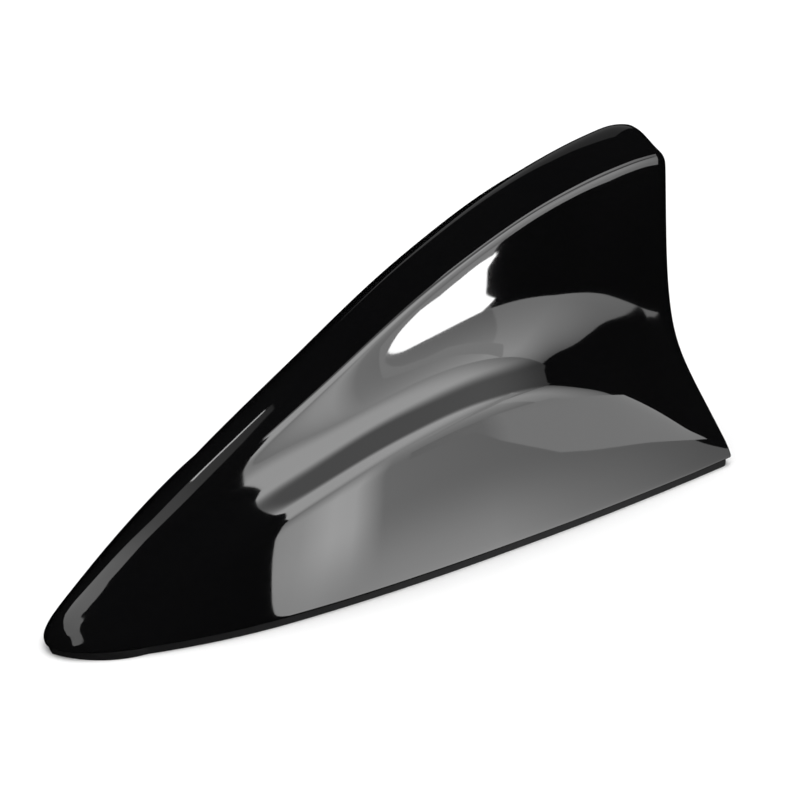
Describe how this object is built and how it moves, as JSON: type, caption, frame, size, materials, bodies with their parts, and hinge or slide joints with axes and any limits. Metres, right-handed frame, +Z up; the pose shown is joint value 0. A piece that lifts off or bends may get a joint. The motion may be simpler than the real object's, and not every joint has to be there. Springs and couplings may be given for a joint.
{
  "type": "shark fin aerial",
  "caption": "Gloss-black shark fin roof aerial: rounded ridge, hollow flanks and flared skirt on a flat base with gasket, adhesive pad and cable inlet.",
  "frame": {"origin": "centre of the footprint at the level of the roof, where the gasket and the pad rest", "axes": "+X along the aerial from the nose to the tail, +Y across it, +Z up out of the roof"},
  "size_m": [0.152, 0.0494, 0.0688],
  "materials": {
    "shell": "piano black, high gloss",
    "gasket": "matt black rubber",
    "foam_tape": "dark grey acrylic foam tape",
    "base": "fine-grained black moulding",
    "silicone": "grey silicone",
    "screw_steel": "zinc plated",
    "grommet": "matt black rubber",
    "board": "green solder mask, satin",
    "copper": "bare copper",
    "tinplate": "bright tinplate",
    "foam_block": "open-cell foam",
    "former": "natural moulding",
    "chip": "moulded package, matt",
    "ceramic": "ceramic, satin",
    "ferrite": "sintered, matt",
    "solder": "bright solder"
  },
  "bodies": {
    "root": {"outer_shell": "shell", "seal_gasket": "gasket", "adhesive_pad": "foam_tape", "base_plate": "base", "rim_seal": "silicone", "shell_screws": "screw_steel", "cable_grommet": "grommet", "amplifier_board": "board", "board_screws": "screw_steel", "radiator_board": "board", "radiator_trace": "copper", "top_load_strip": "tinplate", "anti_rattle_pad": "foam_block", "coil_former": "former", "matching_coil": "copper", "shield_can": "tinplate", "amplifier_chip": "chip", "chip_capacitors": "ceramic", "choke_core": "ferrite", "choke_winding": "copper", "tab_solder": "solder"}
  },
  "joints": []
}
